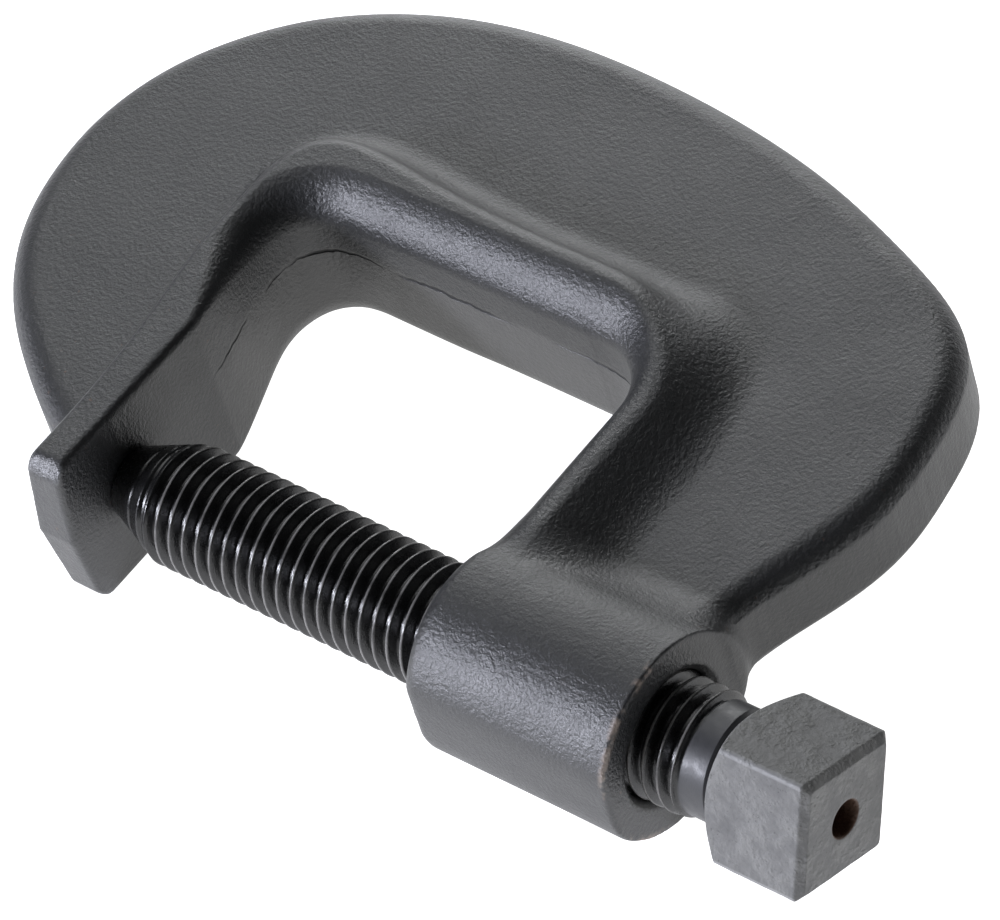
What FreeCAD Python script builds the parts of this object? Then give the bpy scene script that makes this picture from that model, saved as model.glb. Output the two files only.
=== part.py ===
import FreeCAD, Part
import math
import os
import Sketcher

# C clamp: one forged frame and one clamp screw, millimetres.
# X runs along the screw from the anvil face to the wrench head, Y from the screw to the
# spine, Z up through the thickness. The origin is on the screw axis in the anvil face.

doc = FreeCAD.newDocument("CClamp")

# ---------------------------------------------------------------------------
# Driving sizes: one spreadsheet cell each
# ---------------------------------------------------------------------------
SIZES = {
    # throat of the frame
    "jaw_gap": 62.8,            # anvil face to boss face
    "throat_depth": 48.3,       # screw axis to spine wall
    "rib_height": 29.8,         # rib, across the thickness
    "web_height": 15.6,         # web, across the thickness
    "rim_round": 3.9,           # rounding of the outer rim
    "rib_width": 7.8,           # rib on the spine and the boss arm
    "crest_round": 3.5,         # rounding of the rib crest on the throat side
    "back_round": 2.0,          # rounding of the rib crest on the web side
    # anvil
    "anvil_thickness": 6.6,
    "anvil_tip": 14.0,          # screw axis to the anvil tip at mid thickness
    "tip_slope": 1.5,           # how far the tip end falls back at its corners
    "face_length": 19.5,        # flat face above the screw axis
    "wall_recess": 4.1,         # forged wall behind the flat face
    "corner_round": 10.7,       # inner corner of the throat at the boss arm
    # boss
    "boss_radius": 15.7,
    "boss_length": 36.5,
    "boss_flat": 14.8,          # screw axis to the trimmed front flat
    "boss_round": 2.9,
    # clamp screw
    "thread_diameter": 18.9,    # 3/4 inch, 10 threads per inch, class 2A
    "thread_pitch": 2.54,
    "thread_start": 2.9,        # first groove on the +Y side
    "bore_clearance": 0.3,      # radial, screw to boss
    "nose_radius": 5.35,
    "nose_length": 5.8,
    "nose_angle": 22.0,
    "neck_radius": 8.65,
    "neck_length": 5.2,
    "head_clear": 12.6,         # boss end to the head, screw closed
    "head_length": 17.1,
    "head_width": 19.05,        # across flats
    "head_turn": -22.2,         # degrees about the screw axis
    "head_cone": 28.0,          # degrees, turned chamfer on the near side
    "head_bevel": 1.1,
    "centre_hole": 5.6,         # diameter
    "centre_depth": 9.0,
}

# Outer rim of the web, each point as (from, dx, from, dy): the first pair is the distance
# right of the anvil face ("anvil") or of the boss face ("boss"), the second the distance
# above the screw axis ("screw") or above the spine wall ("spine").
RIM = {
    "a": ("anvil", -4.9, "screw", -5.8),
    "b": ("anvil", -17.5, "screw", 1.2),
    "c": ("anvil", -26.7, "screw", 7.7),
    "d": ("anvil", -40.1, "screw", 21.4),
    "e": ("anvil", -46.9, "screw", 39.9),
    "f": ("anvil", -44.7, "screw", 60.8),
    "g": ("anvil", -31.6, "spine", 31.2),
    "j": ("anvil", -7.8, "spine", 44.1),
    "k": ("anvil", 23.4, "spine", 47.3),
    "l": ("boss", -6.9, "spine", 43.5),
    "n": ("boss", 20.9, "spine", 34.4),
    "o": ("boss", 36.0, "spine", 24.7),
    "p": ("boss", 41.8, "spine", 10.1),
    "q": ("boss", 42.6, "screw", 41.8),
    "u": ("boss", 38.3, "screw", 27.0),
    "v": ("boss", 35.4, "screw", 17.0),
    "w": ("boss", 35.4, "screw", 7.8),
    "x": ("boss", 3.9, "screw", 7.8),
}
for point, (_, dx, _, dy) in RIM.items():
    SIZES["rim_dx_" + point] = dx
    SIZES["rim_dy_" + point] = dy

sheet = doc.addObject("Spreadsheet::Sheet", "Sizes")
for row, (alias, number) in enumerate(SIZES.items(), start=1):
    sheet.set("A%d" % row, alias)
    sheet.set("B%d" % row, "%.4f" % number)
    sheet.setAlias("B%d" % row, alias)
doc.recompute()


class Size:
    """A number of millimetres together with the sheet expression that gives it."""

    def __init__(self, number, text):
        self.number = number
        self.text = text

    def __add__(self, other):
        other = as_size(other)
        return Size(self.number + other.number, "(%s + %s)" % (self.text, other.text))

    def __sub__(self, other):
        other = as_size(other)
        return Size(self.number - other.number, "(%s - %s)" % (self.text, other.text))

    def __mul__(self, factor):
        return Size(self.number * factor, "(%s * %.10g)" % (self.text, factor))

    def __neg__(self):
        return self * -1


def as_size(value):
    """A Size stays as it is; a bare number becomes a constant one."""
    return value if isinstance(value, Size) else Size(value, "(%.10g)" % value)


def size(alias):
    return Size(SIZES[alias], "Sizes." + alias)


def bind(thing, name, value):
    thing.setExpression(name, value.text)


# ---------------------------------------------------------------------------
# Sketch helpers
# ---------------------------------------------------------------------------
def origin_plane(body, role):
    for feature in body.Origin.OriginFeatures:
        if feature.Role == role:
            return feature
    raise RuntimeError("no " + role)


def new_sketch(body, name, plane, lift=None, turn=0.0):
    """A sketch flat on one of the body's origin planes, lifted off it by a Size."""
    sketch = body.newObject("Sketcher::SketchObject", name)
    sketch.AttachmentSupport = [(origin_plane(body, plane), "")]
    sketch.MapMode = "FlatFace"
    rotation = FreeCAD.Rotation(FreeCAD.Vector(0, 0, 1), turn)
    height = lift.number if lift else 0.0
    sketch.AttachmentOffset = FreeCAD.Placement(FreeCAD.Vector(0, 0, height), rotation)
    if lift:
        bind(sketch, "AttachmentOffset.Base.z", lift)
    return sketch


class Smooth:
    """A spline through the given points, with the directions at its two ends if any."""

    def __init__(self, through, first=None, last=None):
        self.through = through
        self.first = first
        self.last = last

    def curve(self, start, stop):
        middle = [FreeCAD.Vector(x.number, y.number, 0) for x, y in self.through]
        spline = Part.BSplineCurve()
        if self.first:
            spline.interpolate(
                Points=[start] + middle + [stop],
                InitialTangent=FreeCAD.Vector(*self.first, 0),
                FinalTangent=FreeCAD.Vector(*self.last, 0),
            )
        else:
            spline.interpolate([start] + middle + [stop])
        return spline


def pinned(geometry, end, x, y):
    """Two bound distances from the origin that fix one point of a sketch."""
    return [
        (Sketcher.Constraint("DistanceX", -1, 1, geometry, end, x.number), x.text),
        (Sketcher.Constraint("DistanceY", -1, 1, geometry, end, y.number), y.text),
    ]


def constrain(sketch, pairs):
    """Add constraints in one go and bind those that come with an expression."""
    sketch.addConstraint([constraint for constraint, _ in pairs])
    for index, (_, text) in enumerate(pairs):
        if text:
            sketch.setExpression("Constraints[%d]" % index, text)


def outline(sketch, corners):
    """A closed outline. Each corner is (x, y), (x, y, (mid x, mid y)) or (x, y, Smooth).
    The segment that leaves it is a line, an arc through the mid point, or a spline."""
    count = len(corners)
    points = [FreeCAD.Vector(c[0].number, c[1].number, 0) for c in corners]
    pieces = []
    ends = []
    pairs = []
    for i, corner_ in enumerate(corners):
        start, stop = points[i], points[(i + 1) % count]
        ends.append((1, 2))
        if len(corner_) == 3 and isinstance(corner_[2], Smooth):
            pieces.append(corner_[2].curve(start, stop))
        elif len(corner_) == 3:
            middle = FreeCAD.Vector(corner_[2][0].number, corner_[2][1].number, 0)
            turn = (middle - start).cross(stop - start).z
            if turn < 0:
                ends[i] = (2, 1)
            radius = Part.Circle(start, middle, stop).Radius
            arc = Part.Arc(start, middle, stop) if turn > 0 else Part.Arc(stop, middle, start)
            pieces.append(arc)
            pairs.append((Sketcher.Constraint("Radius", i, radius), None))
        else:
            pieces.append(Part.LineSegment(start, stop))
    sketch.addGeometry(pieces, False)
    for i, corner_ in enumerate(corners):
        before = (i - 1) % count
        pairs += pinned(i, ends[i][0], corner_[0], corner_[1])
        joint = Sketcher.Constraint("Coincident", before, ends[before][1], i, ends[i][0])
        pairs.append((joint, None))
    constrain(sketch, pairs)


def circle(sketch, x, y, radius):
    centre = FreeCAD.Vector(x.number, y.number, 0)
    ring = Part.Circle(centre, FreeCAD.Vector(0, 0, 1), radius.number)
    sketch.addGeometry([ring], False)
    size_of_ring = Sketcher.Constraint("Radius", 0, radius.number)
    constrain(sketch, pinned(0, 3, x, y) + [(size_of_ring, radius.text)])


def pad(body, name, sketch, length, both_ways=False, kind="PartDesign::Pad"):
    feature = body.newObject(kind, name)
    feature.Profile = sketch
    if both_ways:
        feature.SideType = "Symmetric"
    bind(feature, "Length", length)
    body.Tip = feature
    doc.recompute()
    return feature


def revolve(body, name, sketch, axis, kind="PartDesign::Revolution"):
    feature = body.newObject(kind, name)
    feature.Profile = sketch
    feature.ReferenceAxis = (origin_plane(body, axis), [""])
    feature.Angle = 360.0
    body.Tip = feature
    doc.recompute()
    return feature


def edges_where(shape, test):
    """Names of the edges whose every sampled point passes the test."""
    names = []
    for number, edge in enumerate(shape.Edges, start=1):
        first, last = edge.ParameterRange
        samples = [edge.valueAt(first + (last - first) * t) for t in (0.05, 0.5, 0.95)]
        if all(test(p) for p in samples):
            names.append("Edge%d" % number)
    return names


def dress_edges(body, name, test, value, kind="PartDesign::Fillet", prop="Radius"):
    base = body.Tip
    feature = body.newObject(kind, name)
    feature.Refine = False
    feature.Base = (base, edges_where(base.Shape, test))
    bind(feature, prop, value)
    body.Tip = feature
    doc.recompute()
    return feature


# ---------------------------------------------------------------------------
# Frame: one drop forging, tapped boss and anvil included
# ---------------------------------------------------------------------------
zero = as_size(0.0)
jaw_gap = size("jaw_gap")
spine = size("throat_depth")
rib = size("rib_width")
corner = size("corner_round")
recess = size("wall_recess")
anvil_back = -size("anvil_thickness")

frame = doc.addObject("PartDesign::Body", "frame")
frame.Label = "frame"

across = {"anvil": zero, "boss": jaw_gap}
along = {"screw": zero, "spine": spine}


def rim_point(point):
    from_x, _, from_y, _ = RIM[point]
    return (
        across[from_x] + size("rim_dx_" + point),
        along[from_y] + size("rim_dy_" + point),
    )


def arc_mid(corner_x, corner_y, radius, sign_x, sign_y):
    """Middle of the quarter arc that rounds a square corner."""
    cut = 1.0 - math.sqrt(0.5)
    return corner_x + radius * (cut * sign_x), corner_y + radius * (cut * sign_y)


left_corner = size("face_length") + 18.0

web_sketch = new_sketch(frame, "WebSketch", "XY_Plane")
rim_names = [name for name in RIM if name not in "avwx"]
outline(
    web_sketch,
    [
        (*rim_point("a"), Smooth([rim_point(name) for name in rim_names])),
        (rim_point("v")[0], rim_point("v")[1]),
        (rim_point("w")[0], rim_point("w")[1]),
        (jaw_gap + 2.0, rim_point("x")[1]),
        (jaw_gap + 2.0, spine - corner, arc_mid(jaw_gap + 2.0, spine + 2.0, corner, -1, -1)),
        (jaw_gap - corner, spine + 2.0),
        (rib, spine + 2.0, (-recess * 0.8, spine - 2.0)),
        (-recess - 2.0, left_corner),
        (as_size(-2.5), size("face_length")),
        (as_size(-2.5), rim_point("a")[1]),
    ],
)
pad(frame, "Web", web_sketch, size("web_height"), both_ways=True)

# The rib round the throat; its crest edges are rounded further down
rib_sketch = new_sketch(frame, "RibSketch", "XY_Plane")
up, down, right, left = (0, 1), (0, -1), (1, 0), (-1, 0)
wall = Smooth(
    [
        (-recess * 0.5, size("face_length") + 8.5),
        (-recess, left_corner),
        (-recess * 0.3, spine - 3.0),
    ],
    up,
    right,
)
outside = Smooth(
    [
        (anvil_back - recess * 0.9, spine + 1.0),
        (anvil_back - recess, left_corner - 4.0),
    ],
    left,
    down,
)
outline(
    rib_sketch,
    [
        (zero, -size("anvil_tip")),
        (zero, size("face_length"), wall),
        (rib, spine),
        (jaw_gap - corner, spine, arc_mid(jaw_gap, spine, corner, -1, -1)),
        (jaw_gap, spine - corner),
        (jaw_gap, zero),
        (jaw_gap + rib, zero),
        (
            jaw_gap + rib,
            spine - corner,
            arc_mid(jaw_gap + rib, spine + rib, corner + rib, -1, -1),
        ),
        (jaw_gap - corner, spine + rib),
        (rib, spine + rib, outside),
        (anvil_back, size("face_length")),
        (anvil_back, -size("anvil_tip")),
    ],
)
pad(frame, "Rib", rib_sketch, size("rib_height"), both_ways=True)

half_web = SIZES["web_height"] / 2
half_rib = SIZES["rib_height"] / 2
near = 0.05


def at_height(p, height):
    return abs(abs(p.z) - height) < near


def on_rim(p):
    """On the outer edge of the web: clear of the rib, the boss and the anvil."""
    outside_left = p.x < -SIZES["anvil_thickness"] - 12.0
    outside_right = p.x > SIZES["jaw_gap"] + SIZES["rib_width"] + 12.0
    above = p.y > SIZES["throat_depth"] + SIZES["rib_width"] + 12.0
    in_boss = p.x > SIZES["jaw_gap"] and p.y < SIZES["boss_radius"]
    return at_height(p, half_web) and (outside_left or outside_right or above) and not in_boss


def on_crest(p):
    arm_end = p.y < near and p.x > SIZES["jaw_gap"] / 2
    tip_end = p.y < near - SIZES["anvil_tip"]
    return at_height(p, half_rib) and not arm_end and not tip_end


def in_throat(p):
    beside = -SIZES["wall_recess"] - near < p.x < SIZES["jaw_gap"] + near
    above_face = p.y > SIZES["face_length"] or p.x > -near
    return beside and above_face and p.y < SIZES["throat_depth"] + near


dress_edges(frame, "RimRound", on_rim, size("rim_round"))
dress_edges(
    frame, "CrestRound", lambda p: on_crest(p) and in_throat(p), size("crest_round")
)
dress_edges(
    frame, "BackRound", lambda p: on_crest(p) and not in_throat(p), size("back_round")
)

# Boss: a round barrel on the screw axis, its throat end rounded over
boss_sketch = new_sketch(frame, "BossSketch", "XY_Plane")
boss_end = jaw_gap + size("boss_length")
barrel = size("boss_radius")
boss_edge = size("boss_round")
outline(
    boss_sketch,
    [
        (jaw_gap, zero),
        (jaw_gap, barrel - boss_edge, arc_mid(jaw_gap, barrel, boss_edge, 1, -1)),
        (jaw_gap + boss_edge, barrel),
        (boss_end - 0.8, barrel),
        (boss_end, barrel - 0.8),
        (boss_end, zero),
    ],
)
revolve(frame, "Boss", boss_sketch, "X_Axis")

# Front of the boss: the flash is trimmed off flat
flat_sketch = new_sketch(frame, "BossFlatSketch", "XY_Plane")
flat_start = jaw_gap - 2.0
flat_end = jaw_gap + size("boss_length") + 2.0
outline(
    flat_sketch,
    [
        (flat_start, -size("boss_flat") - 8.0),
        (flat_end, -size("boss_flat") - 8.0),
        (flat_end, -size("boss_flat")),
        (flat_start, -size("boss_flat")),
    ],
)
pad(
    frame,
    "BossFlat",
    flat_sketch,
    size("boss_radius") * 4,
    both_ways=True,
    kind="PartDesign::Pocket",
)

# Tip of the anvil: two slopes that meet at mid thickness
half_tip = size("rib_height") * 0.5
for name, side in (("Upper", 1), ("Lower", -1)):
    slope = new_sketch(frame, "TipSlope%sSketch" % name, "YZ_Plane")
    tip = -size("anvil_tip")
    outline(
        slope,
        [
            (tip, zero),
            (tip - 4.0, zero),
            (tip - 4.0, half_tip * side + 4.0 * side),
            (tip + size("tip_slope"), half_tip * side + 4.0 * side),
            (tip + size("tip_slope"), half_tip * side),
        ],
    )
    pad(
        frame,
        "TipSlope" + name,
        slope,
        size("anvil_thickness") * 4,
        both_ways=True,
        kind="PartDesign::Pocket",
    )

# Tapped bore, kept as a plain running bore round the thread's crests
bore_sketch = new_sketch(frame, "BoreSketch", "YZ_Plane", lift=jaw_gap - 1.0)
bore_radius = size("thread_diameter") * 0.5 + size("bore_clearance")
circle(bore_sketch, zero, zero, bore_radius)
bore = pad(
    frame, "Bore", bore_sketch, size("boss_length") + 4.0, kind="PartDesign::Pocket"
)
bore.Reversed = True
doc.recompute()

# ---------------------------------------------------------------------------
# Clamp screw: one bar of steel. Its plain nose is a body of its own, because the
# nose feeds along X and the threaded bar turns on it.
# ---------------------------------------------------------------------------
crest = size("thread_diameter") * 0.5
nose_rise = math.tan(math.radians(SIZES["nose_angle"]))
nose_end = size("nose_length")
nose_wide = size("nose_radius") + nose_end * nose_rise
nose_run = (crest - size("nose_radius")) * (1.0 / nose_rise)

nose = doc.addObject("PartDesign::Body", "screw_nose")
nose.Label = "screw_nose"
nose_sketch = new_sketch(nose, "NoseSketch", "XY_Plane")
outline(
    nose_sketch,
    [
        (zero, zero),
        (zero, size("nose_radius") - 0.6),
        (as_size(0.6), size("nose_radius")),
        (nose_end, nose_wide),
        (nose_end, zero),
    ],
)
revolve(nose, "Nose", nose_sketch, "X_Axis")

screw = doc.addObject("PartDesign::Body", "clamp_screw")
screw.Label = "clamp_screw"
head_near = size("jaw_gap") + size("boss_length") + size("head_clear")
head_far = head_near + size("head_length")
neck_near = head_near - size("neck_length")

# Square head, forged in one with the bar
head_sketch = new_sketch(screw, "HeadSketch", "YZ_Plane", lift=head_near, turn=SIZES["head_turn"])
half_head = size("head_width") * 0.5
outline(
    head_sketch,
    [
        (-half_head, -half_head),
        (half_head, -half_head),
        (half_head, half_head),
        (-half_head, half_head),
    ],
)
pad(screw, "Head", head_sketch, size("head_length"))

# The near side of the head is turned to a shallow cone
cone = math.tan(math.radians(SIZES["head_cone"]))
cone_reach = size("head_width")
cone_sketch = new_sketch(screw, "HeadConeSketch", "XY_Plane")
outline(
    cone_sketch,
    [
        (head_near - 1.0, size("neck_radius") + 0.4),
        (head_near, size("neck_radius") + 0.4),
        (head_near + (cone_reach - size("neck_radius")) * cone, cone_reach + 0.4),
        (head_near - 1.0, cone_reach + 0.4),
    ],
)
revolve(screw, "HeadCone", cone_sketch, "X_Axis", kind="PartDesign::Groove")

dress_edges(
    screw,
    "HeadBevel",
    lambda p: abs(p.x - head_far.number) < near,
    size("head_bevel"),
    kind="PartDesign::Chamfer",
    prop="Size",
)

shank_sketch = new_sketch(screw, "ShankSketch", "XY_Plane")
outline(
    shank_sketch,
    [
        (nose_end, zero),
        (nose_end, nose_wide),
        (nose_run, crest),
        (neck_near - 0.4, crest),
        (neck_near, size("neck_radius")),
        (head_near + 1.0, size("neck_radius")),
        (head_near + 1.0, zero),
    ],
)
revolve(screw, "Shank", shank_sketch, "X_Axis")

centre_sketch = new_sketch(screw, "CentreSketch", "YZ_Plane", lift=head_far - size("centre_depth"))
circle(centre_sketch, zero, zero, size("centre_hole") * 0.5)
centre = pad(
    screw, "Centre", centre_sketch, size("centre_depth") + 2.0, kind="PartDesign::Pocket"
)
centre.Reversed = True
doc.recompute()

# 60 degree thread, crest flat an eighth of the pitch, cut as one right-handed helix
pitch = size("thread_pitch")
depth = pitch * 0.6134
over = 0.05
slope = math.tan(math.radians(30.0))
mouth = pitch * (7.0 / 16.0)
floor_half = mouth - depth * slope
groove_sketch = new_sketch(screw, "ThreadSketch", "XY_Plane")
groove_x = size("thread_start")
outline(
    groove_sketch,
    [
        (groove_x - floor_half, crest - depth),
        (groove_x - mouth - over * slope, crest + over),
        (groove_x + mouth + over * slope, crest + over),
        (groove_x + floor_half, crest - depth),
    ],
)
thread = screw.newObject("PartDesign::SubtractiveHelix", "Thread")
thread.Profile = groove_sketch
thread.ReferenceAxis = (origin_plane(screw, "X_Axis"), [""])
thread.Mode = "pitch-height-angle"
bind(thread, "Pitch", pitch)
bind(thread, "Height", neck_near - groove_x - 1.2)
thread.LeftHanded = False
screw.Tip = thread
doc.recompute()

# ---------------------------------------------------------------------------
# Check and write
# ---------------------------------------------------------------------------
for item in doc.Objects:
    if {"Invalid", "Error"} & set(item.State):
        raise RuntimeError("%s: %s" % (item.Name, item.State))

os.makedirs("parts", exist_ok=True)
for body in (frame, nose, screw):
    shape = body.Shape
    if shape.isNull() or not shape.isValid() or len(shape.Solids) != 1:
        raise RuntimeError(body.Label + " is not one valid solid")
    shape.exportStep("parts/" + body.Label + ".step")
    print(body.Label, round(shape.Volume), shape.BoundBox)
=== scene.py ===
import bmesh
import bpy
import numpy as np
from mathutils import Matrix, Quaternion, Vector


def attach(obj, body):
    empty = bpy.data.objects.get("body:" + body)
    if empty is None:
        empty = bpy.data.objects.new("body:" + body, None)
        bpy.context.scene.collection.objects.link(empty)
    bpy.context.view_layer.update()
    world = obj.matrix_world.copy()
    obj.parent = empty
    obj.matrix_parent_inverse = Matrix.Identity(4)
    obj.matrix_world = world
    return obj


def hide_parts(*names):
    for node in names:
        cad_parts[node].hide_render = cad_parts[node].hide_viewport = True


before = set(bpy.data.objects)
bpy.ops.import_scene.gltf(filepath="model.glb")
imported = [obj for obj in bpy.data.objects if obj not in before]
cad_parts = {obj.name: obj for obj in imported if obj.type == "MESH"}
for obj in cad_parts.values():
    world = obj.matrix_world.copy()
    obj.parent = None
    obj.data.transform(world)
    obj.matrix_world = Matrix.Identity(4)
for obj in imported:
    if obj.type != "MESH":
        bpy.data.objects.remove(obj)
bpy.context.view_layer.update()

# C clamp lying on its side. X runs along the screw from the anvil face to the wrench head,
# Y from the screw to the spine, Z up. Lengths in the sections are millimetres; MM makes metres.
MM = 0.001


# ---------------------------------------------------------------------------
# Frame forging
# One drop forging of carbon steel: a flat C-shaped web with a tall rib round the throat, which
# ends in the flat anvil on the left and grows into the boss for the screw on the right. Its
# flash is trimmed off round the rim, and it is blackened all over. It is the body of the tool.
# ---------------------------------------------------------------------------
JAW_GAP = 62.8
THROAT_DEPTH = 48.3
RIB_TOP = 14.9
WEB_TOP = 7.8
BOSS_RADIUS = 15.7
BOSS_END = JAW_GAP + 36.5
BOSS_FLAT = 14.8
BORE_RADIUS = 9.75
ANVIL_TIP = 14.0
FLASH_CUT = 0.45


def smooth_line(points, count):
    """A line through the points: x and y are each a natural cubic of the run along the chords."""
    points = np.array(points, float)
    run = np.concatenate([[0], np.cumsum(np.hypot(*np.diff(points, axis=0).T))])
    step = np.diff(run)
    size = len(points)
    bend = np.eye(size)
    right = np.zeros((size, 2))
    inner = np.arange(1, size - 1)
    bend[inner, inner - 1] = step[:-1]
    bend[inner, inner] = 2 * (step[:-1] + step[1:])
    bend[inner, inner + 1] = step[1:]
    slope = np.diff(points, axis=0) / step[:, None]
    right[1:-1] = 6 * np.diff(slope, axis=0)
    curve = np.linalg.solve(bend, right)
    at = np.linspace(0, run[-1], count)
    i = np.clip(np.searchsorted(run, at, side="right") - 1, 0, size - 2)
    h, a, b = step[i][:, None], (run[i + 1] - at)[:, None], (at - run[i])[:, None]
    return (
        curve[i] * a**3 / (6 * h) + curve[i + 1] * b**3 / (6 * h)
        + (points[i] / h - curve[i] * h / 6) * a
        + (points[i + 1] / h - curve[i + 1] * h / 6) * b
    )


def arc(centre, radius, start, stop, count=12):
    """Points on a circle about the centre, from one angle in degrees to the other."""
    turn = np.radians(np.linspace(start, stop, count))
    return np.stack([centre[0] + radius * np.cos(turn), centre[1] + radius * np.sin(turn)], 1)


def plan_distance(x, y, outline):
    """Distance of each plan point to a closed outline: the least distance to its straight
    sides, counted negative where a ray from the point crosses the sides an odd number of times."""
    a = np.asarray(outline, float)
    b = np.roll(a, -1, axis=0)
    best = np.full(x.shape, 1e9)
    odd = np.zeros(x.shape, bool)
    for (ax, ay), (bx, by) in zip(a, b):
        ex, ey = bx - ax, by - ay
        long2 = ex * ex + ey * ey
        if long2 < 1e-12:
            continue
        t = np.clip(((x - ax) * ex + (y - ay) * ey) / long2, 0, 1)
        best = np.minimum(best, (x - ax - t * ex) ** 2 + (y - ay - t * ey) ** 2)
        if ay != by:
            odd ^= ((ay > y) != (by > y)) & (x < ex * (y - ay) / ey + ax)
    return np.sqrt(best) * np.where(odd, -1, 1)


# Rim of the web from the anvil's back round the spine to the boss, and back through the throat.
rim_line = smooth_line(
    [(-4.9, -5.8), (-17.5, 1.2), (-26.7, 7.7), (-40.1, 21.4), (-46.9, 39.9), (-44.7, 60.8),
     (-31.6, 79.5), (-7.8, 92.4), (23.4, 95.6), (55.9, 91.8), (83.7, 82.7), (98.8, 73.0),
     (104.6, 58.4), (105.4, 41.8), (101.1, 27.0), (98.2, 17.0), (97.8, 7.8)], 150)
web_outline = np.vstack([rim_line, [(97.0, 0), (70, 0), (20, 20), (0, 0)]])

# Throat: the anvil's flat face, the forged wall behind it, the spine wall and the boss arm.
throat_outline = np.vstack([
    [(0, -40), (0, 18.6)],
    smooth_line([(0, 19.5), (-1.3, 25), (-2.9, 31), (-4.0, 38), (-3.5, 42), (-1.7, 45.6),
                 (2.0, 47.8), (6.0, 48.3)], 30),
    arc((JAW_GAP - 10.7, THROAT_DEPTH - 10.7), 10.7, 90, 0),
    [(JAW_GAP, -40)],
])

# Rib: the strip between the throat and the foot of the rib's back.
rib_back = smooth_line(
    [(-6.3, -20), (-6.5, -8), (-6.7, 3), (-7.2, 11.9), (-8.4, 20.8), (-9.8, 31.7), (-10.8, 44.9),
     (-10.6, 51.5), (-7.6, 57.6), (-1.2, 60.3), (6.0, 60.2), (17.9, 59.0), (31.4, 58.3),
     (48.7, 58.2), (59.0, 56.6), (67.0, 51.4), (70.2, 43.0), (70.9, 32), (71.5, 20), (73.5, 8),
     (74, -4)], 120)
rib_outline = np.vstack([rib_back, [(20, -4), (20, -20)]])

# The three plan distances are worked out once on a fine grid, then looked up between its points.
PLAN_STEP = 0.3
plan_x = np.arange(-52, 112, PLAN_STEP)
plan_y = np.arange(-22, 102, PLAN_STEP)
grid_x, grid_y = np.meshgrid(plan_x, plan_y, indexing="ij")
plan_rim = plan_distance(grid_x, grid_y, web_outline)
plan_throat = plan_distance(grid_x, grid_y, throat_outline)
plan_rib = plan_distance(grid_x, grid_y, rib_outline)


def look_up(field, x, y):
    """The value of a plan grid at any points, straight between its four nearest ones."""
    u = np.clip((x - plan_x[0]) / PLAN_STEP, 0, len(plan_x) - 1.001)
    v = np.clip((y - plan_y[0]) / PLAN_STEP, 0, len(plan_y) - 1.001)
    i, j = u.astype(int), v.astype(int)
    u, v = u - i, v - j
    low = field[i, j] * (1 - u) + field[i + 1, j] * u
    high = field[i, j + 1] * (1 - u) + field[i + 1, j + 1] * u
    return low * (1 - v) + high * v


def corner(a, b, radius):
    """Both distances kept inside, with the edge where they meet rounded to the radius."""
    a, b = a + radius, b + radius
    return np.hypot(np.maximum(a, 0), np.maximum(b, 0)) + np.minimum(np.maximum(a, b), 0) - radius


def blend_in(a, b, radius):
    """Either distance, with the inner corner where they meet filled to the radius."""
    a, b = radius - a, radius - b
    return radius - np.hypot(np.maximum(a, 0), np.maximum(b, 0)) - np.minimum(np.maximum(a, b), 0)


def ease(value, low, high):
    """Nought below low, one above high, and a smooth step between."""
    t = np.clip((value - low) / (high - low), 0, 1)
    return t * t * (3 - 2 * t)


def waves(x, y, z, length, seed):
    """Gentle swells of about the given length: five sine waves in fixed odd directions."""
    pick = np.random.default_rng(seed)
    total = 0.0
    for _ in range(5):
        way = pick.normal(size=3)
        way *= 2 * np.pi / (length * pick.uniform(0.7, 1.5) * np.linalg.norm(way))
        total = total + np.sin(x * way[0] + y * way[1] + z * way[2] + pick.uniform(0, 6.28))
    return total / 5


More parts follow.
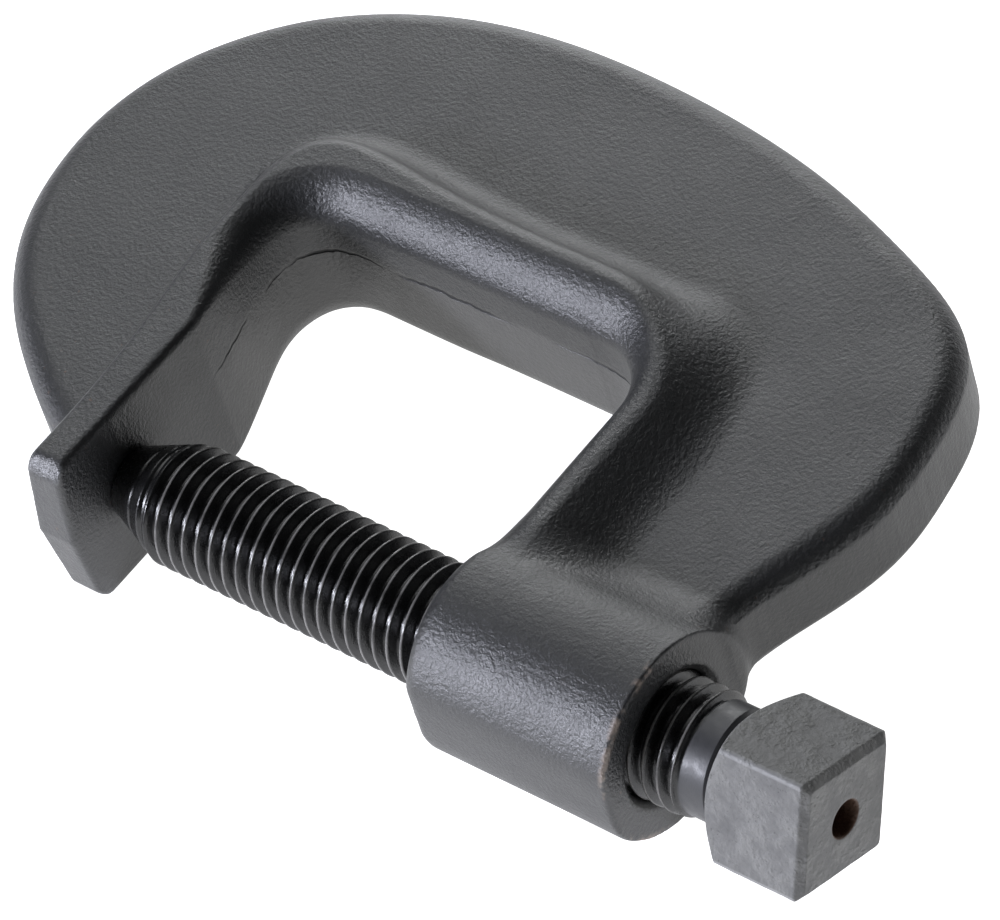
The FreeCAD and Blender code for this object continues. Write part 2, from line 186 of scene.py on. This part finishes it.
def forging(x, y, z):
    """Signed distance to the forging, less than nought in the steel. Web, rib and boss are each
    two or three distances with a rounded edge; they are joined with filled inner corners, and
    the tip, the trimmed flats and the bore are then cut away."""
    high = np.abs(z)
    rim = look_up(plan_rim, x, y)
    throat = -look_up(plan_throat, x, y)
    rib = look_up(plan_rib, x, y)
    # web, rounded at the rim and trimmed where the flash was
    web = corner(rim - FLASH_CUT, high - WEB_TOP, 5.0)
    web = corner(web, rim, 0.15)
    # rib: a sloping back that steepens to the left, under a top that sinks into the boss
    left = ease(-y, -58, -30) * ease(-x, -30, -20)
    right = ease(x, 52, 66)
    back = rib * 0.95 + (high - 11.0) * (0.26 - 0.18 * left + 0.30 * right)
    in_boss = ease(x, 50, 54) * ease(-y, -15, -5)
    top = high - RIB_TOP + 0.30 * (1 - left) * np.maximum(6.0 + throat, 0) + 5.0 * in_boss
    rib_body = corner(top, back, 2.4 - 1.2 * left + 3.6 * right)
    solid = blend_in(web, rib_body, 5.0 - 2.2 * left + 2.0 * right)
    # boss on the screw axis; its outer end is left sharp, and the arm beside it is cut to that end
    from_axis = np.hypot(y, z)
    boss = corner(from_axis - BOSS_RADIUS, x - BOSS_END, 0.5)
    boss = corner(boss, -y - BOSS_FLAT, 0.9)
    boss = np.where(x > 40, boss, 30.0)
    solid = blend_in(solid, boss, 4.6)
    solid = np.maximum(solid, x - BOSS_END - 6.4 * ease(y, 12, 24))
    # no join may swell past the boss's own height; the throat is cut last, with a soft edge
    solid = np.maximum(solid, high - BOSS_RADIUS)
    solid = corner(solid, throat, 6.2 - 4.8 * ease(-y, -42, -18) * left - 3.3 * in_boss)
    # anvil tip, its end falling back to both corners
    tip = -(y + ANVIL_TIP) + 0.1 * high
    solid = np.where(x < 30, corner(solid, tip, 0.9), solid)
    facet = (-(y + 11.9) + (high - 13.6)) * 0.7071
    solid = np.where(x < 30, corner(solid, facet, 0.5), solid)
    # slow unevenness of a forged surface, none on the flat anvil face
    rough = ease(np.abs(throat), 0.0, 2.5) + ease(y, 20, 26) * (x < 50)
    solid = solid + 0.10 * waves(x, y, z, 17, 3) * np.clip(rough, 0, 1)
    bore = BORE_RADIUS - from_axis + 0.9 * ease(x, BOSS_END - 1.2, BOSS_END)
    return np.where((x > 40) & (y < 14), corner(solid, bore, 0.3), solid)


def surface_net(value, start, step):
    """The surface where a solid grid of distances is nought. Each cell that it passes through
    gets one point, the mean of where the surface cuts the cell's edges, and each cut edge joins
    the points of the four cells round it, facing from the negative side."""
    cells = tuple(n - 1 for n in value.shape)
    total = np.zeros(cells + (3,))
    count = np.zeros(cells)
    cuts = []
    for axis in range(3):
        one, two = (axis + 1) % 3, (axis + 2) % 3
        first = np.moveaxis(value, (axis, one, two), (0, 1, 2))
        low, high = first[:-1], first[1:]
        cut = (low < 0) != (high < 0)
        share = np.where(cut, low / np.where(cut, low - high, 1), 0)
        cuts.append((cut, low < 0))
        seat = np.moveaxis(total, (axis, one, two), (0, 1, 2))
        tally = np.moveaxis(count, (axis, one, two), (0, 1, 2))
        n, p, q = seat.shape[:3]
        i, j, k = np.meshgrid(np.arange(n), np.arange(p), np.arange(q), indexing="ij")
        for dj in (0, 1):
            for dk in (0, 1):
                here = cut[:, dj:dj + p, dk:dk + q]
                seat[..., axis] += here * (i + share[:, dj:dj + p, dk:dk + q])
                seat[..., one] += here * (j + dj)
                seat[..., two] += here * (k + dk)
                tally += here
    used = count > 0
    name = np.full(cells, -1)
    name[used] = np.arange(used.sum())
    points = total[used] / count[used][:, None] * step + start
    faces = []
    for axis in range(3):
        cut, inside = cuts[axis]
        one, two = (axis + 1) % 3, (axis + 2) % 3
        cell = np.moveaxis(name, (axis, one, two), (0, 1, 2))
        i, j, k = np.nonzero(cut[:, 1:-1, 1:-1])
        round_edge = [cell[i, j, k], cell[i, j + 1, k], cell[i, j + 1, k + 1], cell[i, j, k + 1]]
        quad = np.stack(round_edge, 1)
        turned = ~inside[:, 1:-1, 1:-1][i, j, k]
        quad[turned] = quad[turned][:, ::-1]
        faces.append(quad)
    return points, np.vstack(faces).tolist()


def slope_of(shape, points, reach):
    """Gradient of a distance at the points, from its values a little way off each way."""
    out = np.zeros_like(points)
    for axis in range(3):
        off = np.zeros(3)
        off[axis] = reach
        out[:, axis] = (shape(*(points + off).T) - shape(*(points - off).T)) / (2 * reach)
    return out


NET_STEP = 0.66
NET_BOX = ((-49.4, 108), (-16.6, 98), (-17.05, 17.1))
spans = [np.arange(low, high, NET_STEP) for low, high in NET_BOX]
spans[2] = (np.arange(len(spans[2])) - (len(spans[2]) - 1) / 2) * NET_STEP
net_x, net_y, net_z = np.meshgrid(*spans, indexing="ij")
forging_points, forging_faces = surface_net(
    forging(net_x, net_y, net_z), np.array([s[0] for s in spans]), NET_STEP)
# Three short moves along the slope bring the points close to the surface itself.
for _ in range(3):
    gradient = slope_of(forging, forging_points, 0.1)
    steep = np.maximum((gradient**2).sum(1), 0.3)
    move = forging(*forging_points.T) / steep
    forging_points -= gradient * np.clip(move, -0.3, 0.3)[:, None]


def new_piece(name, points, faces, body, nodes, slot, material):
    """A mesh object from millimetre points, riding on its body in place of its CAD nodes."""
    mesh = bpy.data.meshes.new(name)
    mesh.from_pydata((np.asarray(points) * MM).tolist(), [], faces)
    mesh.polygons.foreach_set("use_smooth", np.full(len(mesh.polygons), True))
    mesh.update()
    piece = bpy.data.objects.new(name, mesh)
    bpy.context.scene.collection.objects.link(piece)
    mesh.materials.append(material)
    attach(piece, body)
    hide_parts(*nodes)
    return piece


def mark(piece, name, values):
    """A number at each point of a piece, which its material can read by name."""
    layer = piece.data.attributes.new(name, "FLOAT", "POINT")
    layer.data.foreach_set("value", np.asarray(values, np.float32))


class Finish:
    """A material under making: each method adds one node and gives back its output."""

    def __init__(self, name):
        self.material = bpy.data.materials.new(name)
        self.material.use_nodes = True
        self.tree = self.material.node_tree
        self.skin = self.tree.nodes["Principled BSDF"]
        self.place = self.tree.nodes.new("ShaderNodeTexCoord").outputs["Object"]

    def link(self, source, target):
        if isinstance(source, (int, float)):
            target.default_value = source
        else:
            self.tree.links.new(source, target)

    def noise(self, scale, detail=3.0, rough=0.5, stretch=None):
        node = self.tree.nodes.new("ShaderNodeTexNoise")
        node.inputs["Scale"].default_value = scale
        node.inputs["Detail"].default_value = detail
        node.inputs["Roughness"].default_value = rough
        place = self.place
        if stretch:
            turn = self.tree.nodes.new("ShaderNodeMapping")
            turn.inputs["Scale"].default_value = stretch
            self.link(place, turn.inputs["Vector"])
            place = turn.outputs["Vector"]
        self.link(place, node.inputs["Vector"])
        return node.outputs["Fac"]

    def cells(self, scale):
        node = self.tree.nodes.new("ShaderNodeTexVoronoi")
        node.inputs["Scale"].default_value = scale
        self.link(self.place, node.inputs["Vector"])
        return node.outputs["Distance"]

    def along(self, axis):
        """The object coordinate along one axis, in metres."""
        node = self.tree.nodes.new("ShaderNodeSeparateXYZ")
        self.link(self.place, node.inputs[0])
        return node.outputs[axis]

    def mark(self, name):
        node = self.tree.nodes.new("ShaderNodeAttribute")
        node.attribute_name = name
        return node.outputs["Fac"]

    def sum(self, kind, a, b=None):
        node = self.tree.nodes.new("ShaderNodeMath")
        node.operation = kind
        for value, socket in zip((a, b), node.inputs):
            if value is not None:
                self.link(value, socket)
        return node.outputs[0]

    def span(self, value, low, high, start=0.0, stop=1.0):
        """value from low..high taken to start..stop, smooth and held at both ends."""
        node = self.tree.nodes.new("ShaderNodeMapRange")
        node.interpolation_type = "SMOOTHSTEP"
        ends = {"From Min": low, "From Max": high, "To Min": start, "To Max": stop}
        for key, number in ends.items():
            node.inputs[key].default_value = number
        self.link(value, node.inputs["Value"])
        return node.outputs["Result"]

    def mix(self, amount, a, b):
        """Colour a turned into colour b by the amount."""
        node = self.tree.nodes.new("ShaderNodeMix")
        node.data_type = "RGBA"
        self.link(amount, node.inputs["Factor"])
        for colour, socket in ((a, node.inputs[6]), (b, node.inputs[7])):
            if isinstance(colour, tuple):
                socket.default_value = colour + (1.0,)
            else:
                self.link(colour, socket)
        return node.outputs[2]

    def grain(self, height, distance, strength=1.0, under=None):
        node = self.tree.nodes.new("ShaderNodeBump")
        node.inputs["Distance"].default_value = distance
        node.inputs["Strength"].default_value = strength
        self.link(height, node.inputs["Height"])
        if under is not None:
            self.link(under, node.inputs["Normal"])
        return node.outputs["Normal"]

    def done(self, colour, roughness, normal, metallic, specular=0.5, index=1.5):
        self.link(colour, self.skin.inputs["Base Color"])
        self.link(roughness, self.skin.inputs["Roughness"])
        self.link(normal, self.skin.inputs["Normal"])
        self.skin.inputs["Metallic"].default_value = metallic
        self.skin.inputs["Specular IOR Level"].default_value = specular
        self.skin.inputs["IOR"].default_value = index
        return self.material


# Blackened forged skin: dark grey, fine orange-peel grain, worn paler on ridges, painted shade
# darkening the hollows, rust in specks.
black = Finish("blackened_forging")
peel = black.noise(1500, 4, 0.6)
fine = black.noise(4200, 2, 0.6)
broad = black.noise(55, 3, 0.6)
patch = black.noise(210, 4, 0.65)
skin_tone = black.mix(broad, (0.0155, 0.0161, 0.0170), (0.0240, 0.0249, 0.0262))
skin_tone = black.mix(black.span(fine, 0.45, 0.75, 0.0, 0.6), skin_tone, (0.060, 0.0615, 0.064))
worn = black.span(black.sum("ADD", black.mark("ridge"), black.sum("MULTIPLY", patch, 0.6)), 0.85, 1.35)
skin_tone = black.mix(black.sum("MULTIPLY", worn, 0.7), skin_tone, (0.21, 0.214, 0.222))
# painted shade: concave places are darkened in the colour, standing in for the shade that falls in
# them
painted_hollow_shade = black.span(black.mark("painted_hollow_shade"), 0.25, 1.0)
skin_tone = black.mix(black.sum("MULTIPLY", painted_hollow_shade, 0.5), skin_tone, (0.014, 0.014, 0.0145))
trim = black.mark("trim")
skin_tone = black.mix(black.sum("MULTIPLY", trim, 0.6), skin_tone, (0.022, 0.022, 0.0225))
speck = black.span(black.noise(620, 4, 0.7), 0.66, 0.74)
rusty = black.sum("MULTIPLY", speck, black.mark("rust"))
skin_tone = black.mix(black.sum("MULTIPLY", rusty, 0.7), skin_tone, (0.16, 0.075, 0.035))
bare = black.mark("bare")
bare_metal = black.sum("MULTIPLY", bare, black.span(patch, 0.50, 0.62))
skin_tone = black.mix(bare_metal, skin_tone, (0.30, 0.24, 0.20))
# torn parting line on the throat wall, wandering 1.2 to 4.2 mm up, and paler metal below it
tear = black.sum("ADD", black.along(2), black.sum("MULTIPLY", black.noise(120, 3, 0.6), -0.0030))
wall = black.mark("wall")
crack = black.sum("ABSOLUTE", black.sum("SUBTRACT", tear, 0.0012))
crack = black.span(crack, 0.00010, 0.00042, 1.0, 0.0)
crack = black.sum("MULTIPLY", crack, black.span(black.noise(65, 2), 0.40, 0.58))
crack = black.sum("MULTIPLY", crack, wall)
lower = black.sum("MULTIPLY", black.span(tear, 0.0008, 0.0024, 1.0, 0.0), wall)
skin_tone = black.mix(black.sum("MULTIPLY", lower, 0.45), skin_tone, (0.12, 0.118, 0.112))
skin_tone = black.mix(black.sum("MULTIPLY", crack, 0.85), skin_tone, (0.004, 0.004, 0.004))
dull = black.sum("ADD", black.span(patch, 0.2, 0.8, 0.36, 0.44), black.sum("MULTIPLY", worn, -0.08))
dull = black.sum("ADD", dull, black.sum("MULTIPLY", crack, 0.5))
strokes = black.noise(700, 2, 0.5, (1.0, 1.0, 0.10))
bumps = black.grain(peel, 0.00022, 0.9)
bumps = black.grain(fine, 0.00007, 0.6, bumps)
bumps = black.grain(black.sum("MULTIPLY", strokes, trim), 0.00025, 0.6, bumps)
bumps = black.grain(black.sum("MULTIPLY", crack, -1.0), 0.0006, 0.9, bumps)
forging_finish = black.done(skin_tone, dull, bumps, 0.0, 0.5, 1.75)

forging_piece = new_piece(
    "frame_forging", forging_points, forging_faces, "frame", ["frame"], "forging", forging_finish)
normals = slope_of(forging, forging_points, 0.18)
normals /= np.maximum(np.linalg.norm(normals, axis=1), 1e-6)[:, None]
forging_piece.data.normals_split_custom_set_from_vertices(normals.tolist())

# Marks that the finish reads: how sharp a ridge is, how deep the hollows are (for painted shade), the
# trimmed band, rust and cracks.
# The sum of the distances a little way off each way is over nought on a ridge, under in hollows.
RIDGE_REACH = 1.3
fx, fy, fz = forging_points.T
bulge = 0.0
for axis in range(3):
    off = np.zeros(3)
    off[axis] = RIDGE_REACH
    bulge = bulge + forging(*(forging_points + off).T) + forging(*(forging_points - off).T)
bulge = bulge / (6 * RIDGE_REACH)
tip_corner = np.exp(-((fx + 3.0) ** 2 + (fy + 12.5) ** 2 + (np.abs(fz) - 14.0) ** 2) / 5)
mark(forging_piece, "ridge", np.clip((bulge - 0.10) / 0.30 + 0.8 * tip_corner, 0, 1.4))
# mark for the painted shade, highest in the deepest concave places
mark(forging_piece, "painted_hollow_shade", np.clip((-bulge - 0.05) / 0.15, 0, 1))
rim_off = look_up(plan_rim, fx, fy)
throat_off = -look_up(plan_throat, fx, fy)
upright = np.abs(normals[:, 2]) < 0.4
mark(forging_piece, "trim", ease(rim_off, -0.35, -0.05) * (rim_off < 0.4) * upright)
near_anvil = np.exp(-((fx + 12) ** 2 + (fy - 10) ** 2) / 500)
mark(forging_piece, "rust", np.clip(0.12 + near_anvil + 0.5 * ease(fx, 92, 99), 0, 1))
boss_edge = ease(fx, BOSS_END - 0.9, BOSS_END - 0.3) * ease(np.hypot(fy, fz), 14.6, 15.3)
mark(forging_piece, "bare", boss_edge * ease(-fy, -8, -4))
mark(forging_piece, "wall", ease(-np.abs(throat_off), -0.9, -0.3) * ease(fy, 18, 30))


# ---------------------------------------------------------------------------
# Clamp screw
# One bar of steel, blackened and oiled: a plain cone nose that presses on the work, a 3/4 inch
# thread of 10 turns an inch, a plain neck and a forged square head for a wrench. It screws
# through the tapped boss. The nose slides and the rest turns, so they are two pieces.
# ---------------------------------------------------------------------------
PITCH = 2.54
FIRST_GROOVE = 2.9 / PITCH - 0.25
CREST = 9.45
NOSE_TIP = 5.35
NOSE_SPLIT = 5.8
CONE_SLOPE = np.tan(np.radians(22))
NECK = 8.65
NECK_START = 106.7
HEAD_START = 111.9
TURN = 144


def join_rings(rows, count):
    """Faces between rings of points, row by row, closed round, looking outward."""
    i = np.arange(rows - 1)[:, None] * count
    j = np.arange(count)[None, :]
    k = (j + 1) % count
    return np.stack([i + j, i + k, i + count + k, i + count + j], -1).reshape(-1, 4)


def cone(x):
    """Radius of the turned nose: its tip radius plus the run times the cone's slope."""
    return NOSE_TIP + x * CONE_SLOPE


def thread(x, turn):
    """Radius of the thread: the crest's, less the drop of a 60 degree groove. The run from the
    nearest crest is found along X after taking off a pitch for each turn to the right."""
    phase = x / PITCH - turn / (2 * np.pi) - FIRST_GROOVE + 0.5
    run = np.abs(phase - np.round(phase)) * PITCH
    return CREST - np.clip((run - PITCH / 16) * 1.732, 0, 1.5)


bar = Finish("oiled_black_thread")
bar_tone = bar.mix(bar.noise(300, 3), (0.004, 0.004, 0.0042), (0.009, 0.009, 0.0093))
# painted highlight: the thread crests are made paler in the colour, standing in for the light they
# catch
painted_crest_highlight = bar.span(bar.mark("crest"), 0.55, 1.0)
painted_crest_highlight = bar.sum("MULTIPLY", painted_crest_highlight, bar.span(bar.noise(420, 3), 0.25, 0.6, 0.35, 1.0))
bar_tone = bar.mix(painted_crest_highlight, bar_tone, (0.16, 0.155, 0.15))
bar_rough = bar.span(bar.noise(700, 3), 0.2, 0.8, 0.20, 0.34)
bar_bump = bar.grain(bar.noise(1500, 2, 0.5, (6.0, 1.0, 1.0)), 0.00006, 0.5)
neck = bar.mark("neck")
bar_tone = bar.mix(neck, bar_tone, (0.045, 0.046, 0.050))
bar_rough = bar.sum("ADD", bar_rough, bar.sum("MULTIPLY", neck, 0.16))
thread_finish = bar.done(bar_tone, bar_rough, bar_bump, 0.0, 0.5, 1.6)

# Thread: rings that follow the helix, so their rows lie along the crests and roots. The rows
# past either end are drawn in to that end, where they close up on the shank's own circle.
around = np.arange(TURN) / TURN * 2 * np.pi
profile = np.array(
    [0, 0.159, 0.30, 0.55, 0.80, 1.02, 1.06, 1.27, 1.48, 1.52, 1.74, 1.99, 2.24, 2.381])
rows = (np.arange(-2, 43)[:, None] * PITCH + profile).ravel() + PITCH * (FIRST_GROOVE - 0.5)
run = rows[:, None] + around / (2 * np.pi) * PITCH
run = np.clip(run, NOSE_SPLIT, HEAD_START)
radius = np.minimum(thread(run, around[None, :]), cone(run))
into_neck = ease(run, NECK_START - 0.5, NECK_START + 0.1)
radius = radius * (1 - into_neck) + NECK * into_neck


def ring_points(run, radius, around):
    """Points at a run along X and a radius, turned from the Y axis towards the Z axis."""
    return np.stack([run, radius * np.cos(around), radius * np.sin(around)], -1).reshape(-1, 3)


def closed_rings(name, rings, count, first, last, **kind):
    """A closed bar: rings of points in rows, and a middle point at each end."""
    points = np.vstack([rings, [first], [last]])
    faces = join_rings(len(rings) // count, count).tolist()
    near, far, total = len(rings), len(rings) + 1, len(rings)
    faces += [[(i + 1) % count, i, near] for i in range(count)]
    faces += [[total - count + i, total - count + (i + 1) % count, far] for i in range(count)]
    return new_piece(name, points, faces, **kind)


def weld(piece, gap=0.00001):
    """Merges points that fell on one another and drops the faces that closed up there."""
    work = bmesh.new()
    work.from_mesh(piece.data)
    bmesh.ops.remove_doubles(work, verts=work.verts, dist=gap)
    bmesh.ops.dissolve_degenerate(work, edges=work.edges, dist=gap)
    work.to_mesh(piece.data)
    work.free()


thread_rings = ring_points(run, radius, np.broadcast_to(around, run.shape))
thread_piece = closed_rings(
    "clamp_screw_thread", thread_rings, TURN, (NOSE_SPLIT, 0, 0), (HEAD_START, 0, 0),
    body="screw", nodes=["clamp_screw"], slot="screw_steel", material=thread_finish)
# mark for the painted crest highlight: one on the crests, nought in the grooves and the neck
crest_highlight_mark = np.clip((radius - (CREST - 0.16)) / 0.16, 0, 1) * (1 - into_neck)
mark(thread_piece, "crest", np.concatenate([crest_highlight_mark.ravel(), [0, 0]]))
neck_mark = ease(run, NECK_START - 0.2, NECK_START + 0.2)
mark(thread_piece, "neck", np.concatenate([neck_mark.ravel(), [0, 1]]))
weld(thread_piece)

# Nose: flat tip with a small broken edge, then the cone up to where the thread starts.
nose_run = np.array([0.0, 0.0, 0.03, 0.12, 0.3, 1.2, 2.4, 3.6, 4.8, NOSE_SPLIT])
nose_radius = cone(nose_run) - np.array([2.5, 0.45, 0.22, 0.08, 0, 0, 0, 0, 0, 0])
nose_rings = ring_points(*np.broadcast_arrays(nose_run[:, None], nose_radius[:, None], around))
nose_piece = closed_rings(
    "screw_nose_cone", nose_rings, TURN, (0, 0, 0), (NOSE_SPLIT, 0, 0),
    body="nose", nodes=["screw_nose"], slot="screw_steel", material=thread_finish)
mark(nose_piece, "crest", np.zeros(len(nose_piece.data.vertices)))


# ---------------------------------------------------------------------------
# Square head
# The head is forged in one with the screw, so it is duller and pitted, with its near corners
# turned off to a cone, its far edges bevelled, and a rusty lathe centre drilled in its end.
# ---------------------------------------------------------------------------
HEAD_END = 129.0
HALF_FLAT = 9.525
HEAD_TURN = np.radians(-22.2)
CENTRE = 2.8
SPOKES = 288


def softer(a, b, soft):
    """The lesser of two values, rounded off where they cross."""
    h = np.clip(0.5 + 0.5 * (b - a) / soft, 0, 1)
    return b * (1 - h) + a * h - soft * h * (1 - h)


spokes = np.arange(SPOKES) / SPOKES * 2 * np.pi
across = np.cos(spokes - HEAD_TURN)
up = np.sin(spokes - HEAD_TURN)


def square(half, power):
    """Radius of a square with rounded corners, from a high power mean of its two sides."""
    return half / (np.abs(across) ** power + np.abs(up) ** power) ** (1 / power)


sides = square(HALF_FLAT, 34.0)
head_x = np.concatenate([
    np.linspace(HEAD_START, HEAD_START + 3.0, 26), np.linspace(HEAD_START + 3.5, HEAD_END - 1.7, 22),
    np.linspace(HEAD_END - 1.5, HEAD_END, 16)])
turned = HALF_FLAT - 0.35 + (head_x - HEAD_START) / np.tan(np.radians(28))
bevel = (HEAD_END - 0.02 - head_x)[:, None]
head_r = softer(sides[None, :], turned[:, None] + 0 * sides, 0.35)
tapered = square(HALF_FLAT - 1.05, 30.0)[None, :] + bevel / np.maximum(np.abs(across), np.abs(up))
head_r = softer(head_r, tapered, 0.22)
cap_x = np.full(14, HEAD_END)
cap_share = np.linspace(0.97, 0.0, 14)[:, None]
cap_r = (CENTRE + 0.35) + (head_r[-1] - CENTRE - 0.35) * cap_share
hole_x = HEAD_END - np.array([0.08, 0.3, 0.8, 2.0, 4.0, 6.5, 8.0, 8.6, 9.0])
hole_r = np.concatenate([[CENTRE + 0.15, CENTRE + 0.02], np.full(5, CENTRE), [1.6, 0.4]])
neck_r = np.array([2.0, 5.0, NECK + 0.05, NECK + 0.15])
all_x = np.concatenate([np.full(4, HEAD_START), head_x, cap_x, hole_x])
all_r = np.vstack([neck_r[:, None] + 0 * sides, head_r, cap_r, hole_r[:, None] + 0 * sides])
head_rings = ring_points(*np.broadcast_arrays(all_x[:, None], all_r, spokes))
pits = waves(*head_rings.T, 5.0, 11) * 0.05 + waves(*head_rings.T, 2.2, 12) * 0.03
outer = (head_rings[:, 0] > HEAD_START + 0.5) & (np.hypot(*head_rings[:, 1:].T) > CENTRE + 1)
head_rings[:, 1:] *= (1 + (pits * outer) / np.maximum(np.hypot(*head_rings[:, 1:].T), 1))[:, None]

grey = Finish("pitted_grey_head")
mottle = grey.noise(260, 4, 0.65)
fleck = grey.noise(1100, 3, 0.6)
head_tone = grey.mix(grey.span(mottle, 0.3, 0.7), (0.16, 0.16, 0.16), (0.25, 0.25, 0.244))
dark_pits = grey.span(grey.noise(1900, 3, 0.7), 0.60, 0.72, 0.0, 0.6)
head_tone = grey.mix(dark_pits, head_tone, (0.05, 0.05, 0.05))
head_tone = grey.mix(grey.span(fleck, 0.62, 0.75, 0.0, 0.6), head_tone, (0.19, 0.19, 0.185))
# painted highlight: a pale line along the head's long corners, standing in for the light they catch
head_tone = grey.mix(grey.span(grey.mark("edge"), 0.3, 0.9, 0.0, 0.7), head_tone, (0.36, 0.36, 0.36))
head_tone = grey.mix(grey.mark("hole"), head_tone, (0.10, 0.045, 0.02))
pitting = grey.span(grey.cells(900), 0.0, 0.35)
head_rough = grey.span(mottle, 0.2, 0.8, 0.42, 0.60)
head_bump = grey.grain(fleck, 0.00016, 0.8)
pitting = grey.sum("MULTIPLY", pitting, grey.span(mottle, 0.45, 0.7))
head_bump = grey.grain(pitting, 0.0003, 0.5, head_bump)
head_finish = grey.done(head_tone, head_rough, head_bump, 0.0, 0.5, 1.38)

head_piece = closed_rings(
    "clamp_screw_head", head_rings, SPOKES, (HEAD_START, 0, 0), (HEAD_END - 9.1, 0, 0),
    body="screw", nodes=["clamp_screw"], slot="screw_steel", material=head_finish)
ring_x, ring_r = head_rings[:, 0], np.hypot(*head_rings[:, 1:].T)
# mark for the painted highlight on the head's long corners
painted_corner_highlight = np.clip((all_r - HALF_FLAT * 1.335) / 0.35, 0, 1).ravel()
mark(head_piece, "edge", np.concatenate([painted_corner_highlight, [0, 0]]))
in_hole = (ring_x < HEAD_END - 0.05) * (ring_x > HEAD_END - 10) * (ring_r < CENTRE + 0.3)
mark(head_piece, "hole", np.concatenate([in_hole * 0.85, [0, 1]]))


# ---------------------------------------------------------------------------
# Floor, light and camera
# A plain pale floor that the clamp lies on, soft studio light from large panels, and a long lens.
# ---------------------------------------------------------------------------
FLOOR_Z = -15.75
WHITE_GLOW = 1.25
FLOOR_REACH = 1500
floor_points = np.array([(-1, -1, 0), (1, -1, 0), (1, 1, 0), (-1, 1, 0)]) * FLOOR_REACH
floor_points = (floor_points + (0, 0, FLOOR_Z)) * MM
floor_mesh = bpy.data.meshes.new("floor")
floor_mesh.from_pydata(floor_points.tolist(), [], [(0, 1, 2, 3)])
floor = bpy.data.objects.new("floor", floor_mesh)
bpy.context.scene.collection.objects.link(floor)
paper = bpy.data.materials.new("pale_paper")
paper.use_nodes = True
paper_skin = paper.node_tree.nodes["Principled BSDF"]
paper_skin.inputs["Base Color"].default_value = (0.93, 0.93, 0.93, 1)
paper_skin.inputs["Roughness"].default_value = 0.9
paper_skin.inputs["Emission Color"].default_value = (1, 1, 1, 1)
# the paper looks white, and throws less light back on the steel than that
paper_seen = paper.node_tree.nodes.new("ShaderNodeLightPath")
paper_glow = paper.node_tree.nodes.new("ShaderNodeMapRange")
paper_glow.inputs["To Min"].default_value = 0.75
paper_glow.inputs["To Max"].default_value = WHITE_GLOW
paper.node_tree.links.new(paper_seen.outputs["Is Camera Ray"], paper_glow.inputs["Value"])
paper.node_tree.links.new(paper_glow.outputs["Result"], paper_skin.inputs["Emission Strength"])
floor_mesh.materials.append(paper)

world = bpy.data.worlds.new("studio")
bpy.context.scene.world = world
world.use_nodes = True
nodes = world.node_tree.nodes
join = world.node_tree.links.new
dim = nodes["Background"]
dim.inputs["Color"].default_value = (0.9, 0.95, 1.0, 1)
dim.inputs["Strength"].default_value = 0.035
# the room lights the steel dimly, and looks pale behind it
pale = nodes.new("ShaderNodeBackground")
pale.inputs["Color"].default_value = (1.0, 1.0, 1.0, 1)
pale.inputs["Strength"].default_value = WHITE_GLOW
seen = nodes.new("ShaderNodeLightPath")
either = nodes.new("ShaderNodeMixShader")
join(seen.outputs["Is Camera Ray"], either.inputs[0])
join(dim.outputs[0], either.inputs[1])
join(pale.outputs[0], either.inputs[2])
join(either.outputs[0], nodes["World Output"].inputs[0])


def panel(name, place, aim, size, power, tint=(1, 1, 1)):
    """A flat light panel of the given width and height at a place, facing the aim point."""
    light = bpy.data.lights.new(name, "AREA")
    light.shape = "RECTANGLE"
    light.size, light.size_y = size
    light.energy = power
    light.color = tint
    lamp = bpy.data.objects.new(name, light)
    lamp.location = place
    lamp.rotation_euler = (Vector(aim) - Vector(place)).to_track_quat("-Z", "Y").to_euler()
    bpy.context.scene.collection.objects.link(lamp)


middle = (0.03, 0.04, 0.0)
panel("back_panel", (-0.50, 0.44, 0.80), middle, (0.66, 0.66), 2.6, (0.97, 0.985, 1.0))
panel("top_panel", (0.03, 0.04, 1.3), middle, (0.5, 0.5), 0.4)
panel("low_back_panel", (-0.52, 0.86, 0.26), middle, (0.6, 0.26), 3.2, (0.97, 0.985, 1.0))
panel("left_panel", (-0.55, -0.80, 0.42), middle, (0.20, 0.13), 13.0, (0.86, 0.88, 1.0))
bpy.context.scene.view_settings.view_transform = "Standard"

# A long lens stands about a metre off, aims through the throat and is rolled on its own axis.
CAMERA_PLACE = (0.6105, -0.4218, 0.7918)
CAMERA_AIM = (0.0463, 0.0284, 0.0)
CAMERA_ROLL = np.radians(-18.14)
camera = bpy.data.cameras.new("camera")
camera.lens = 269.8
camera.sensor_width = 36.0
camera.clip_start = 0.05
camera.clip_end = 20.0
viewer = bpy.data.objects.new("camera", camera)
viewer.location = CAMERA_PLACE
looking = (Vector(CAMERA_AIM) - Vector(CAMERA_PLACE)).to_track_quat("-Z", "Y")
viewer.rotation_euler = (looking @ Quaternion((0, 0, 1), CAMERA_ROLL)).to_euler()
bpy.context.scene.collection.objects.link(viewer)
bpy.context.scene.camera = viewer
